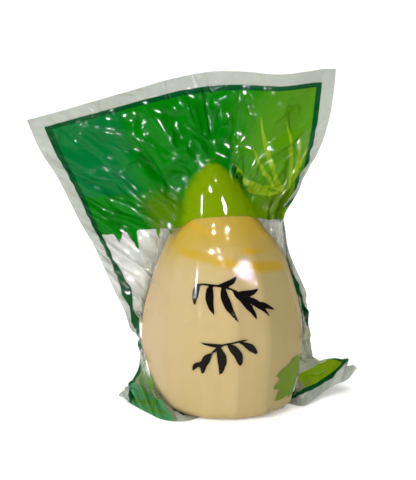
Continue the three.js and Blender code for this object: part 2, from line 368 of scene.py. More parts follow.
# Low down, each side seal is folded back behind the outline given above, and once more high on the right.
# Given are how deep the folded strip is, the lengths up the edge over which it forms and ends, and which way
# it points at its lower and upper end.
tucks = {
    "left": [{"depth": 10.5, "forms": (3.0, 14.0), "ends": (38.0, 66.0), "low": (0.3, 0.9, -0.3),
              "high": (0.4, 0.9, 0)}],
    "right": [{"depth": 10.5, "forms": (2.0, 10.0), "ends": (68.0, 84.0), "low": (-0.2, 0.5, -0.85),
               "high": (-0.35, 0.93, 0)},
              {"depth": 11.5, "forms": (104.0, 122.0), "ends": (134.0, 152.0), "low": (0.1, 0.99, 0),
               "high": (-0.1, 0.99, 0)}],
}


# A smooth curve through the points, cut into equal steps.
def smoothPath(points, count, finely=24):
    pts = np.array(points, float)
    ends = np.vstack([2 * pts[0] - pts[1], pts, 2 * pts[-1] - pts[-2]])
    t = np.linspace(0, 1, finely, endpoint=False)[:, None]
    fine = []
    for a, b, c, d in zip(ends, ends[1:], ends[2:], ends[3:]):
        fine.append(0.5 * (2 * b + (c - a) * t + (2 * a - 5 * b + 4 * c - d) * t**2
                           + (3 * b - a - 3 * c + d) * t**3))
    fine = np.vstack(fine + [pts[-1:]])
    along = np.concatenate([[0], np.cumsum(np.linalg.norm(np.diff(fine, axis=0), axis=1))])
    wanted = np.linspace(0, along[-1], count)
    return np.stack([np.interp(wanted, along, fine[:, k]) for k in range(3)], axis=1)


# How far the shoot reaches from its axis, by turn and height, in millimetres.
shootTable = {"turns": 240, "rise": 1.0, "lowest": 0.05}


def axisAt(height, tall):
    x, y = shootAxis(height, tall)
    return x * 1000, y * 1000


def measureShoot(piece):
    mesh = bmesh.new()
    mesh.from_mesh(piece.data)
    tree = BVHTree.FromBMesh(mesh)
    mesh.free()
    low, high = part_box("shoot")
    base, tall = low.z * 1000, (high.z - low.z) * 1000
    levels = np.arange(0, tall, shootTable["rise"])
    turns = np.arange(shootTable["turns"]) * 2 * math.pi / shootTable["turns"]
    reach = np.zeros((len(levels), len(turns)))
    for row, level in enumerate(levels):
        x, y = axisAt(level, tall)
        start = Vector((x, y, base + max(level, shootTable["lowest"]))) / 1000
        for column, turn in enumerate(turns):
            hit = tree.ray_cast(start, Vector((math.sin(turn), -math.cos(turn), 0)))[0]
            reach[row, column] = (hit - start).length * 1000 if hit else 0
    return {"base": base, "tall": tall, "reach": reach}


# The shoot's radius at each point's height and turn, with the axis and the way out from it.
def reachAt(points, shoot):
    height = np.clip(points[..., 2] - shoot["base"], 0, shoot["tall"] - 1e-3)
    cx, cy = axisAt(height, shoot["tall"])
    dx, dy = points[..., 0] - cx, points[..., 1] - cy
    rows, turns = shoot["reach"].shape
    across = (np.arctan2(dx, -dy) / (2 * math.pi) % 1) * turns
    up = np.clip(height / shootTable["rise"], 0, rows - 1.001)
    i, j = across.astype(int) % turns, up.astype(int)
    s, t = across % 1, up % 1
    k = (i + 1) % turns
    table = shoot["reach"]
    lower = (1 - s) * table[j, i] + s * table[j, k]
    upper = (1 - s) * table[j + 1, i] + s * table[j + 1, k]
    return (1 - t) * lower + t * upper, (cx, cy), (dx, dy)


def clearOfShoot(points, shoot):
    stand = pouch["standOff"]
    height = points[..., 2] - shoot["base"]
    near = (height > -stand) & (height < shoot["tall"] + stand)
    if not near.any():
        return
    p = points[near]
    reach, (cx, cy), (dx, dy) = reachAt(p, shoot)
    radius = np.hypot(dx, dy)
    surface = reach + stand
    inside = radius < surface
    under = inside & (height[near] + stand < surface - radius)
    beside = inside & ~under
    p[under, 2] = shoot["base"] - stand
    grow = np.where(beside, surface / np.maximum(radius, 1e-3), 1)
    p[:, 0] = np.where(beside, cx + dx * grow, p[:, 0])
    p[:, 1] = np.where(beside, cy + dy * grow, p[:, 1])
    points[near] = p


# How far the film is from the shoot.
def gapTo(webs, shoot):
    reach, _, (dx, dy) = reachAt(webs, shoot)
    return np.hypot(dx, dy) - reach + np.maximum(webs[..., 2] - shoot["base"] - shoot["tall"], 0)


# 0 where the film lies on the shoot, 1 where it is well clear of it.
def slackness(webs, shoot):
    gap = gapTo(webs, shoot)
    return smooth(gap, pouch["touching"], pouch["touching"] + pouch["clear"])[..., None]


# Which way the film faces at each point, towards the front.
def faceWays(webs):
    across = np.zeros_like(webs)
    up = np.zeros_like(webs)
    across[:, :, 1:-1] = webs[:, :, 2:] - webs[:, :, :-2]
    across[:, :, 0] = webs[:, :, 1] - webs[:, :, 0]
    across[:, :, -1] = webs[:, :, -1] - webs[:, :, -2]
    up[:, 1:-1] = webs[:, 2:] - webs[:, :-2]
    up[:, 0] = webs[:, 1] - webs[:, 0]
    up[:, -1] = webs[:, -1] - webs[:, -2]
    normal = np.cross(across, up)
    return normal / np.maximum(np.linalg.norm(normal, axis=-1, keepdims=True), 1e-9)


# How far the fold stands in from each side edge, row by row.
def tuckDepth(tuck, up):
    v = np.linspace(0, pouch["length"], up + 1)
    return tuck["depth"] * smooth(v, *tuck["forms"]) * (1 - smooth(v, *tuck["ends"]))


# Which points are held in place: the edges, and the strips of the side seals that are folded back.
def heldPoints(across, up):
    held = np.zeros((up + 1, across + 1), bool)
    held[[0, -1]] = True
    held[:, [0, -1]] = True
    u = np.linspace(0, pouch["width"], across + 1)
    for side, fromEdge in (("left", u), ("right", pouch["width"] - u)):
        for tuck in tucks[side]:
            held |= fromEdge[None] <= tuckDepth(tuck, up)[:, None]
    return held


# The two webs before they are draped: a sheet hung in the outline, with its front and back blown apart.
def openWebs(across, up):
    edges = {name: smoothPath(path, (across if name in ("top", "bottom") else up) + 1)
             for name, path in sealPath.items()}
    u = np.linspace(0, 1, across + 1)[None, :, None]
    v = np.linspace(0, 1, up + 1)[:, None, None]
    bottom, top = edges["bottom"][None], edges["top"][None]
    left, right = edges["left"][:, None], edges["right"][:, None]
    sheet = ((1 - v) * bottom + v * top + (1 - u) * left + u * right
             - (1 - v) * ((1 - u) * bottom[:, :1] + u * bottom[:, -1:])
             - v * ((1 - u) * top[:, :1] + u * top[:, -1:]))
    flat = np.linspace(0, pouch["width"], across + 1)
    fromEdges = {"left": flat, "right": flat[::-1]}
    for side, tuck in ((side, tuck) for side in tucks for tuck in tucks[side]):
        fromEdge = fromEdges[side]
        depth = tuckDepth(tuck, up)[:, None]
        first, last = tuck["forms"][1], tuck["ends"][0]
        heights = np.clip((v[:, :, 0] * pouch["length"] - first) / (last - first), 0, 1)[..., None]
        way = (1 - heights) * np.array(tuck["low"]) + heights * np.array(tuck["high"])
        way = way / np.linalg.norm(way, axis=-1, keepdims=True)
        behind = np.clip(depth - fromEdge[None], 0, None)[..., None]
        folded = edges[side][:, None] + way * behind
        sheet = np.where((fromEdge[None] <= depth)[..., None] & (depth > 0)[..., None], folded, sheet)
    swell = np.sqrt(np.sin(np.pi * u) * np.sin(np.pi * v).clip(0)).clip(0)[..., 0]
    loose = ~heldPoints(across, up)
    webs = np.stack([sheet, sheet])
    apart = faceWays(webs)[0] * pouch["webGap"] / 2
    apart[[0, -1]] = 0
    apart[:, [0, -1]] = 0
    webs[0] += apart
    webs[1] -= apart
    webs[0, ..., 1] -= pouch["openBy"] * swell * loose
    webs[1, ..., 1] += pouch["openBy"] * swell * loose
    return webs


# Moves pairs of points towards the length that the film has between them.
def holdLength(first, second, free, rest, strength=1.0):
    gap = second - first
    length = np.linalg.norm(gap, axis=-1, keepdims=True)
    give = np.where(length > rest, 1.0, pouch["squeeze"]) * strength
    move = gap * (give * (length - rest) / np.maximum(length, 1e-6))
    freeFirst, freeSecond = free
    total = np.maximum(freeFirst + freeSecond, 1e-6)
    first += move * freeFirst / total
    second -= move * freeSecond / total


# How long each cell is over its cut size, across and up.
def measureCells(webs):
    across = np.linalg.norm(np.diff(webs, axis=2), axis=-1, keepdims=True)
    up = np.linalg.norm(np.diff(webs, axis=1), axis=-1, keepdims=True)
    return across * (across.shape[2] / pouch["width"]), up * (up.shape[1] / pouch["length"])


def drape(webs, shares, steps, shoot, suction):
    up, across = webs.shape[1] - 1, webs.shape[2] - 1
    cellU, cellV = pouch["width"] / across, pouch["length"] / up
    shareU, shareV = shares
    free = 1.0 - heldPoints(across, up)[None, ..., None]
    u = np.arange(across + 1)[None, :] * cellU
    v = np.arange(up + 1)[:, None] * cellV
    toEdge = np.minimum(np.minimum(u, pouch["width"] - u), np.minimum(v, pouch["length"] - v))
    sealed = (toEdge < pouch["sealWidth"])[..., None]
    last = webs.copy()
    for step in range(steps):
        speed = (webs - last) * pouch["damping"]
        last = webs.copy()
        normal = faceWays(webs)
        webs += speed * free
        webs[0] -= normal[0] * suction * free[0]
        webs[1] += normal[1] * suction * free[0]
        mean = webs.copy()
        mean[:, 1:-1, 1:-1] = 0.25 * (webs[:, :-2, 1:-1] + webs[:, 2:, 1:-1]
                                      + webs[:, 1:-1, :-2] + webs[:, 1:-1, 2:])
        webs += (mean - webs) * pouch["bend"] * free
        restU, restV = shareU * cellU, shareV * cellV
        boxU = (restU[:, 1:] + restU[:, :-1]) / 2
        boxV = (restV[:, :, 1:] + restV[:, :, :-1]) / 2
        diagonal = np.hypot(boxU, boxV)
        for sweep in range(pouch["sweeps"]):
            for c in (0, 1):
                a, b = slice(c, across, 2), slice(c + 1, across + 1, 2)
                holdLength(webs[:, :, a], webs[:, :, b], (free[:, :, a], free[:, :, b]), restU[:, :, c::2])
                a, b = slice(c, up, 2), slice(c + 1, up + 1, 2)
                holdLength(webs[:, a], webs[:, b], (free[:, a], free[:, b]), restV[:, c::2])
            for c in (0, 1):
                for d in (0, 1):
                    a, b = slice(c, up, 2), slice(c + 1, up + 1, 2)
                    e, f = slice(d, across, 2), slice(d + 1, across + 1, 2)
                    rest = diagonal[:, c::2, d::2]
                    holdLength(webs[:, a, e], webs[:, b, f], (free[:, a, e], free[:, b, f]), rest,
                               pouch["shear"])
                    holdLength(webs[:, a, f], webs[:, b, e], (free[:, a, f], free[:, b, e]), rest,
                               pouch["shear"])
            # the webs can't pass through each other, and run together in the seal
            normal = faceWays(webs)
            mean = normal[0] + normal[1]
            size = np.linalg.norm(mean, axis=-1, keepdims=True)
            mean /= np.maximum(size, 1e-6)
            apart = webs[0] - webs[1]
            depth = (apart * mean).sum(-1, keepdims=True)
            short = np.where((size > pouch["facing"]) & (depth < pouch["webGap"]), pouch["webGap"] - depth, 0)
            webs[0] += mean * short / 2 * free[0]
            webs[1] -= mean * short / 2 * free[0]
            middle = (webs[0] + webs[1]) / 2
            webs[0] = np.where(sealed, middle + mean * pouch["webGap"] / 2 * free[0], webs[0])
            webs[1] = np.where(sealed, middle - mean * pouch["webGap"] / 2 * free[0], webs[1])
            clearOfShoot(webs, shoot)
            webs[..., 2] = np.maximum(webs[..., 2], pouch["floor"])
    return webs


# Distance inside a stroke that starts at a place, runs at an angle from straight up, and bows to one side.
def strokeMark(u, v, place, angle, length, width, bow=0.0, fullest=0.4, blunt=0.8):
    turn = math.radians(angle)
    du, dv = u - place[0], v - place[1]
    along = (du * math.sin(turn) + dv * math.cos(turn)) / length
    aside = du * math.cos(turn) - dv * math.sin(turn)
    inside = np.clip(along, 0, 1)
    aside = aside - bow * 4 * inside * (1 - inside)
    power = math.log(0.5) / math.log(fullest)
    half = width / 2 * np.sin(math.pi * inside**power)**blunt
    beyond = np.maximum(np.maximum(-along, along - 1), 0) * length
    return np.where(beyond > 0, -np.hypot(beyond, aside), half - np.abs(aside))


# Creases that the vacuum has set in the film, in millimetres on the flat film: the two ends, how far the
# crest stands out to the front, the width at its foot, and its bow. They die out where the film lies on the
# shoot.
creases = {
    "folds": (
        ((93, 184), (84, 194), 2.0, 8, 0), ((85, 195), (61, 178), 3.2, 14, -2),
        ((80, 185), (56, 158), -3.0, 16, 2), ((97, 186), (105, 212), -2.8, 13, 0),
        ((101, 212), (113, 197), 2.0, 9, 1), ((112, 198), (132, 166), 2.8, 12, 2),
        ((119, 219), (120, 194), 1.5, 6, 0.5), ((119, 219), (129, 195), 1.5, 6, -0.5),
        ((131, 219), (141, 206), 1.6, 7, 0), ((140, 207), (148, 211), 1.2, 6, 0),
        ((148, 211), (141, 197), 1.4, 6, 0), ((160, 192), (128, 177), 3.4, 15, -2),
        ((129, 178), (123, 162), 2.4, 10, 0), ((159, 180), (126, 163), 2.8, 12, 2),
        ((109, 180), (127, 160), -3.0, 11, -1), ((19, 170), (56, 145), 3.2, 13, 2),
        ((17, 158), (46, 146), -2.4, 10, 0), ((38, 197), (54, 165), 2.8, 15, -2),
        ((48, 200), (62, 168), -2.6, 13, 0), ((76, 201), (63, 184), 1.8, 8, 0),
        ((60, 219), (72, 186), 2.4, 17, 0), ((82, 222), (89, 194), 2.2, 13, 1),
        ((99, 223), (96, 190), -2.2, 12, 0), ((152, 182), (139, 148), 2.4, 10, 1),
        ((147, 160), (131, 142), -2.0, 8, 0), ((20, 216), (44, 200), 1.8, 13, 0),
        ((15, 150), (48, 118), 2.4, 12, 2), ((12, 128), (44, 92), -2.2, 12, 0),
        ((18, 120), (48, 84), 2.2, 11, -2), ((160, 124), (132, 140), 1.6, 7, 0),
        ((12, 186), (36, 176), 1.8, 12, 1), ((30, 182), (44, 158), 2.0, 11, 0)),
    "foldScale": 1.3,
    "small": {"count": 36, "low": 90, "length": (12, 34), "height": (0.6, 1.6), "width": (7, 14), "stray": 85,
              "towards": (93, 176)},
    # on the shoot the film is tight, and only fine ridges and a few bubbles stand off it
    "ridges": (((63, 111), (73, 99), 0.40, 3.0, 0.8), ((72, 100), (82, 91), 0.40, 3.0, -0.6),
               ((92, 170), (93, 154), 0.45, 3.2, 0.8), ((100, 159), (108, 148), 0.45, 3.2, 0.8),
               ((108, 149), (106, 136), 0.40, 3.0, 0), ((104, 50), (116, 74), 0.50, 3.6, 1.0),
               ((112, 92), (118, 118), 0.35, 3.2, 1.0), ((56, 60), (52, 92), 0.35, 3.4, -1.0),
               ((60, 24), (57, 50), 0.35, 3.2, 0.6)),
    "bubbles": (((85, 136), 2.6), ((93, 138), 2.2), ((88, 127), 3.0), ((91, 119), 1.8)),
    "bubbleHeight": 0.55,
    "offShoot": (1.0, 5.0),   # the gap over which the folds grow to their full height
    "inFromEdge": (0.5, 10.0),
    "margin": 8.0,            # small creases start further in than this
    "roundness": 1.5,
    "settle": 6,              # steps of the drape that let the creases find their place
}


def creaseHeight(u, v, start, end, height, width, bow):
    du, dv = end[0] - start[0], end[1] - start[1]
    inside = strokeMark(u, v, start, math.degrees(math.atan2(du, dv)), math.hypot(du, dv), width, bow, 0.5)
    return height * np.clip(inside / (width / 2), 0, 1) ** creases["roundness"]


def creaseWebs(webs, shoot):
    random = np.random.default_rng(pouch["seed"] + 1)
    up, across = webs.shape[1] - 1, webs.shape[2] - 1
    u, v = np.meshgrid(np.linspace(0, pouch["width"], across + 1), np.linspace(0, pouch["length"], up + 1))
    small, edge = creases["small"], creases["margin"]
    folds = creases["foldScale"] * sum(creaseHeight(u, v, *fold) for fold in creases["folds"])
    for _ in range(small["count"]):
        start = random.uniform((edge, small["low"]), (pouch["width"] - edge, pouch["length"] - edge))
        way = np.array(small["towards"]) - start
        turn = math.atan2(way[0], way[1]) + math.radians(random.uniform(-small["stray"], small["stray"]))
        length, height, width = (random.uniform(*small[name]) for name in ("length", "height", "width"))
        end = start + length * np.array((math.sin(turn), math.cos(turn)))
        folds += creaseHeight(u, v, start, end, height * random.choice((-1, 1)), width, 0)
    fromEdge = np.minimum(np.minimum(u, pouch["width"] - u), np.minimum(v, pouch["length"] - v))
    folds *= smooth(fromEdge, *creases["inFromEdge"])
    normal = faceWays(webs)[0]
    gap = gapTo(webs, shoot)
    for web in (0, 1):
        webs[web] += normal * (folds * smooth(gap[web], *creases["offShoot"]))[..., None]
    ridges = sum(creaseHeight(u, v, *ridge) for ridge in creases["ridges"])
    for (x, y), size in creases["bubbles"]:
        ridges += creases["bubbleHeight"] * np.clip(1 - ((u - x) ** 2 + (v - y) ** 2) / size**2, 0, 1)
    webs[0] += normal * (ridges * smooth(fromEdge, *creases["inFromEdge"]))[..., None]
    return drape(webs, measureCells(webs), creases["settle"], shoot, 0)


# Splits each cell in four, along a smooth curve through its neighbours.
def halveCells(webs):
    for axis in (1, 2):
        even = np.moveaxis(webs, axis, 0)
        padded = np.concatenate([2 * even[:1] - even[1:2], even, 2 * even[-1:] - even[-2:-1]])
        middle = (-padded[:-3] + 9 * padded[1:-2] + 9 * padded[2:-1] - padded[3:]) / 16
        fine = np.empty((2 * len(even) - 1,) + even.shape[1:])
        fine[::2], fine[1::2] = even, middle
        webs = np.moveaxis(fine, 0, axis)
    return np.ascontiguousarray(webs)


def drapePouch():
    random = np.random.default_rng(pouch["seed"])
    shoot = measureShoot(shootFlesh)
    across, up = pouch["cells"]
    webs = openWebs(across, up)
    taut = [np.full((2, up + 1, across, 1), pouch["taut"]), np.full((2, up, across + 1, 1), pouch["taut"])]
    webs = drape(webs, taut, pouch["tautSteps"], shoot, 0)
    loose = slackness(webs, shoot)
    shares = []
    for axis, cut, spare in zip((2, 1), measureCells(webs), (pouch["spareAcross"], pouch["spareUp"])):
        ends = np.moveaxis(loose, axis, 0)
        between = np.moveaxis((ends[1:] + ends[:-1]) / 2, 0, axis)
        shares.append(cut * (1 + pouch["tight"] + (spare - pouch["tight"]) * between))
    for level, steps in enumerate(pouch["steps"]):
        if level:
            webs = halveCells(webs)
            shares = [np.repeat(np.repeat(share, 2, axis=1), 2, axis=2) for share in shares]
            shares = [shares[0][:, :-1], shares[1][:, :, :-1]]
        loose = ~heldPoints(webs.shape[2] - 1, webs.shape[1] - 1)[None, ..., None]
        webs += random.normal(0, pouch["ruffle"][level], webs.shape) * loose
        webs = drape(webs, shares, steps, shoot, pouch["suction"])
        print("drape", level + 1, "of", len(pouch["steps"]), webs.shape)
    webs = creaseWebs(webs, shoot)
    return webs, gapTo(webs, shoot)


# A flat grid, with its map, moved point by point to where the cloth lies. It gives their flat places too.
def filmPiece(name, points, flip):
    up, across = points.shape[0] - 1, points.shape[1] - 1
    mesh = bmesh.new()
    mesh.loops.layers.uv.new("flat")
    bmesh.ops.create_grid(mesh, x_segments=across, y_segments=up, size=1, calc_uvs=True)
    piece = newPiece(name, mesh)
    data = piece.data
    flat = np.empty(len(data.vertices) * 3)
    data.vertices.foreach_get("co", flat)
    flat = flat.reshape(-1, 3)
    column = np.rint((flat[:, 0] + 1) / 2 * across).astype(int)
    row = np.rint((flat[:, 1] + 1) / 2 * up).astype(int)
    place = points[row, column] / 1000
    data.vertices.foreach_set("co", place.ravel())
    if flip:
        data.flip_normals()
    data.polygons.foreach_set("use_smooth", np.ones(len(data.polygons), bool))
    data.update()
    return piece, column / across * pouch["width"], row / up * pouch["length"]


webs, gaps = drapePouch()
frontFilm, frontU, frontV = filmPiece("frontFilm", webs[0], False)
backFilm, backU, backV = filmPiece("backFilm", webs[1], True)


# What is printed on the film, all in millimetres on the flat film: u from its left edge and v from its bottom
# edge, as the front is seen. A mark is kept on the mesh as the distance inside its outline, so that the
# outline is sharp when it is drawn.
printed = {
    "headerFoot": 153.5,       # where the printed top part ends
    "headerDip": (12.0, 23.0),  # and how much lower it ends at the left and right side
    "step": (60.0, 76.0, 4.0),  # at the left the front's is lower by the last; it rises between the first two
    "touching": 1.2,           # film nearer to the flesh than this shows it through the ink
    # blades of grass, each from its foot: place, angle from straight up, length, width and bow
    "fringe": ((16, 163, 197, 33, 5.0, 2.5), (18, 162, 176, 28, 4.6, -1.5), (20, 160, 158, 24, 4.4, -2.0),
               (33, 164, 203, 27, 4.6, 2.0), (34, 165, 184, 34, 5.2, 2.0), (52, 164, 196, 25, 4.6, 1.5),
               (52, 162, 172, 20, 4.2, -1.5)),
    "grass": ((145, 159, -66, 34, 2.4, -4), (147, 157, -50, 46, 2.8, -5), (149, 157, -35, 40, 2.4, -3),
              (151, 156, -21, 54, 3.0, -4), (153, 157, -8, 44, 2.6, 3), (155, 158, 4, 34, 2.2, 2),
              (157, 164, 16, 22, 2.0, 1), (141, 164, -78, 22, 2.0, -2)),
    "lowGrass": ((28, 10, -22, 36, 4.6, 2), (25, 12, -6, 34, 4.6, -2), (26, 12, 5, 24, 4.0, 1),
                 (22, 9, -38, 22, 4.0, -1), (22, 14, -14, 36, 4.6, 2), (29, 8, -6, 22, 4.2, -1),
                 (14, 3, 62, 24, 4.4, 1), (24, 2, 80, 16, 3.6, -1), (136, 26, -5, 34, 3.4, -2)),
    # the lime patch low on the shoot, as half planes that it lies inside: across, up and distance; then the
    # lobes of its edge, and the printed corners that end up on the two ears
    "patch": ((1, 0, -103), (-1, 0, 140), (-0.45, -1, 99.5), (0.55, -1, -10.5), (0, 1, -29.4)),
    "leaves": ((110, 31.5, -97, 11, 7.5, 0), (110, 37, -84, 12, 8.0, 0.5), (110, 42, -70, 11, 8.0, 0.5),
               (116, 45, -50, 9, 7.0, 0), (112, 31, -150, 6, 7.0, 0), (119, 31, -165, 6, 7.0, 0)),
    "veins": ((129, 3, 66, 37, 0.9, 0.8), (140, 10, 62, 24, 0.7, 0.6), (137, 4, 74, 27, 0.6, -0.5)),
    "ear": ((1, -0.1, -137), (0, -1, 24)),
    "leftEar": ((1, 0, -7.2), (-1, -0.5, 44), (0, -1, 14)),
    "stalk": (1.7, 0.3),       # width, and where along it is fullest
    "leafFullest": 0.36,
    "inkMargin": 0.5,          # film nearer to a mark than this is in the printed film's slot
}

# Two leafy twigs in brush strokes, down the middle of the front: start, lean, length and bow of the stalk,
# and the leaves: share of the stalk, angle, length, width and bow.
twigs = (
    {"start": (68, 116), "lean": 112, "long": 33, "bow": -4.5,
     "leaves": ((0.10, 196, 15, 3.6, 1.2), (0.27, 183, 20, 4.2, 1.6), (0.45, 170, 23, 4.4, 1.4),
                (0.62, 158, 21, 4.2, -1.4), (0.79, 146, 18, 3.8, -1.4), (1.0, 124, 12, 3.2, -1.0),
                (0.36, 66, 13, 3.4, 1.4), (0.70, 84, 12, 3.2, 1.2))},
    {"start": (89, 79), "lean": 232, "long": 26, "bow": 4.0,
     "leaves": ((0.14, 158, 15, 3.6, -1.4), (0.34, 172, 19, 4.2, -1.6), (0.55, 186, 21, 4.2, -1.2),
                (0.76, 200, 18, 3.8, 1.4), (1.0, 222, 12, 3.2, 1.0), (0.44, 282, 11, 3.2, -1.2))},
)


def joinMarks(marks):
    return np.maximum.reduce(list(marks))


def bladeMarks(u, v, blades):
    return joinMarks([strokeMark(u, v, blade[:2], *blade[2:]) for blade in blades])


def twigMark(u, v, twig):
    lean, long, bow = math.radians(twig["lean"]), twig["long"], twig["bow"]
    width, fullest = printed["stalk"]
    marks = [strokeMark(u, v, twig["start"], twig["lean"], long, width, bow, fullest)]
    for share, *leaf in twig["leaves"]:
        aside = bow * 4 * share * (1 - share)
        foot = (twig["start"][0] + share * long * math.sin(lean) + aside * math.cos(lean),
                twig["start"][1] + share * long * math.cos(lean) - aside * math.sin(lean))
        marks.append(strokeMark(u, v, foot, *leaf, fullest=printed["leafFullest"]))
    return joinMarks(marks)


# Distance inside a shape with straight sides.
def cornerMark(u, v, sides):
    inside = [(across * u + up * v + off) / math.hypot(across, up) for across, up, off in sides]
    return np.minimum.reduce(inside)


def headerFoot(u):
    middle = pouch["width"] / 2
    left, right = printed["headerDip"]
    return printed["headerFoot"] - np.where(u < middle, left, right) * ((u - middle) / middle) ** 2


def frontMarks(u, v):
    first, last, lower = printed["step"]
    foot = headerFoot(u) - lower * (1 - smooth(u, first, last))
    return {"header": np.maximum(v - foot, bladeMarks(u, v, printed["fringe"])),
            "grass": bladeMarks(u, v, printed["grass"]),
            "ink": joinMarks([twigMark(u, v, twig) for twig in twigs]),
            "patch": np.maximum(cornerMark(u, v, printed["patch"]), bladeMarks(u, v, printed["leaves"])),
            "ear": cornerMark(u, v, printed["ear"]),
            "veins": bladeMarks(u, v, printed["veins"]),
            "leftEar": cornerMark(u, v, printed["leftEar"]),
            "lowGrass": bladeMarks(u, v, printed["lowGrass"])}


def backMarks(u, v):
    return {"header": v - headerFoot(u), "grass": bladeMarks(u, v, printed["grass"][:6])}


def keepMarks(piece, marks):
    for name, values in marks.items():
        piece.data.attributes.new(name, "FLOAT", "POINT").data.foreach_set("value", values.astype(np.float32))


keepMarks(frontFilm, frontMarks(frontU, frontV))
keepMarks(backFilm, backMarks(backU, backV))
for piece, (u, v), gap in ((frontFilm, (frontU, frontV), gaps[0]), (backFilm, (backU, backV), gaps[1])):
    rows, columns = (np.rint(flat / pouch[side] * (size - 1)).astype(int)
                     for flat, side, size in zip((v, u), ("length", "width"), gap.shape))
    keepMarks(piece, {"onFlesh": printed["touching"] - gap[rows, columns]})


filmFinish = {
    "band": (7.2, 10.3),               # the dark border, from the edge
    "sideBand": (4.0, (40.0, 50.0), (120.0, 100.0)),  # how much wider it is along the lower sides, and where
    "earMargin": ((46.0, 43.0), (12.0, 9.0)),  # on the left ear the bottom margin is printed over
    "line": 0.1,                       # half the softness of an edge of the border
    "bandInk": (0.0, 0.055, 0.010, 1),
    "teal": (0.0, 0.125, 0.022, 1),
    "green": (0.0, 0.145, 0.001, 1),
    "leafGreen": (0.062, 0.205, 0.001, 1),
    "olive": (0.150, 0.240, 0.0, 1),   # where the film lies on the flesh
    "lime": (0.085, 0.150, 0.0, 1),
    "grass": (0.20, 0.32, 0.004, 1),
    "black": (0.004, 0.003, 0.003, 1),
    "tight": (0.20, 0.18, 0.10, 1),    # clear film on the flesh, and off it
    "clear": (0.44, 0.46, 0.38, 1),
    "sealTint": (0.345, 0.38, 0.31, 1),
    "white": (0.50, 0.525, 0.46, 1),
    "hazeTint": (0.27, 0.29, 0.17, 1),
    "edgeTint": (0.13, 0.16, 0.06, 1),
    "earGreen": (0.035, 0.225, 0.075, 1),
    "leaf": (0.155, 0.265, 0.002, 1),
    "patchGreen": (0.090, 0.160, 0.0, 1),
    "cloud": 0.03,                     # how many to a millimetre
    "sway": 34.0,                      # how far the cloud moves the colours of the top part
    "leafFrom": (0.25, 55.0, 100.0),   # slant, and where the yellower green starts and is full
    "limeFrom": ((172.0, 154.0), (37.0, 50.0), 0.7),  # up, across and share
    "tealFrom": ((50.0, 36.0), 0.5, (166.0, 168.5), 0.1),  # across and up, and the share of the sway in each
    "fleshSoft": 1.2,
    "grassShare": 0.8,
    "clearCover": 0.08,
    # off the shoot the film covers more and is greyer: partly the doubled film and brine, partly painted
    # reflection where the film is seen at a slant
    "haze": (0.14, 0.50),              # how much more the clear film covers off the flesh, and low down
    "hazeBelow": (86.0, 70.0),
    "looseFrom": (0.1, -1.3),
    "edgeHaze": (0.55, 49.0, 43.0),    # low beside the left seal: slope, and where it starts and is full
    "panel": 72.0,                     # the white panel on the back starts this far up the pouch
    "panelEdge": 0.2,
    "panelCover": 0.90,
    "sealCover": 0.62,
    # the marks on the front, each over the one before: its ink and how much it covers
    "inks": (("leftEar", "earGreen", 0.9), ("patch", "patchGreen", 1.0), ("ear", "leaf", 1.0),
             ("veins", "grass", 0.6), ("lowGrass", "leafGreen", 0.85), ("ink", "black", 1.0)),
    "gloss": {"clear": 1.0, "print": 0.085},
    "rough": (0.02, 0.05),
    "index": 1.5,
}

# Fine relief of the film. Heights and pitches are in millimetres, and scales are how many to a millimetre.
relief = {
    "crease": (0.036, 1.0, 0.4, 0.8),  # scale, detail, roughness and distortion of what they wander along
    "creaseTurns": 5.0,
    "creaseSharp": 4.0,
    "creasePatches": (0.055, 0.38, 0.54),
    "creaseHeight": (0.10, 0.60),      # on the flesh, and how much more off it
    "fine": (0.22, 1.0, 0.5, 0.6),
    "fineHeight": 0.02,
    "knurl": (0.9, 0.03),              # pitch and height of the pattern pressed into the heat seal
    "sealFade": 1.5,
    "ripple": (1.5, 0.03, 1.25),       # pitch, height and turn of the fine even ripples
    "ripplePatches": (0.042, 0.60, 0.66),
}


# How far a point is inside the pouch's edge, and the flat place itself, from the film's own map.
def flatGroup():
    group = bpy.data.node_groups.new("flatPlace", "ShaderNodeTree")
    for name, kind in (("across", "Float"), ("up", "Float"), ("inside", "Float"), ("place", "Vector")):
        group.interface.new_socket(name, in_out="OUTPUT", socket_type="NodeSocket" + kind)
    flat = node(group, "UVMap", uv_map="flat").outputs[0]
    size = (pouch["width"], pouch["length"], 0)
    place = node(group, "VectorMath", {0: flat, 1: size}, operation="MULTIPLY").outputs[0]
    u, v = node(group, "SeparateXYZ", {0: place}).outputs[:2]
    toSides = maths(group, "MINIMUM", u, minus(group, size[0], u))
    toEnds = maths(group, "MINIMUM", v, minus(group, size[1], v))
    inside = maths(group, "MINIMUM", toSides, toEnds)
    end = group.nodes.new("NodeGroupOutput")
    for name, socket in (("across", u), ("up", v), ("inside", inside), ("place", place)):
        group.links.new(socket, end.inputs[name])
    return group


# Parts of a place that is turned about the film's own upright.
def turnedParts(tree, place, angle):
    turned = node(tree, "VectorRotate", {"Vector": place, "Angle": angle}, rotation_type="Z_AXIS").outputs[0]
    return node(tree, "SeparateXYZ", {0: turned}).outputs[:2]


def waves(tree, along, pitch):
    return maths(tree, "SINE", times(tree, along, 2 * math.pi / pitch))


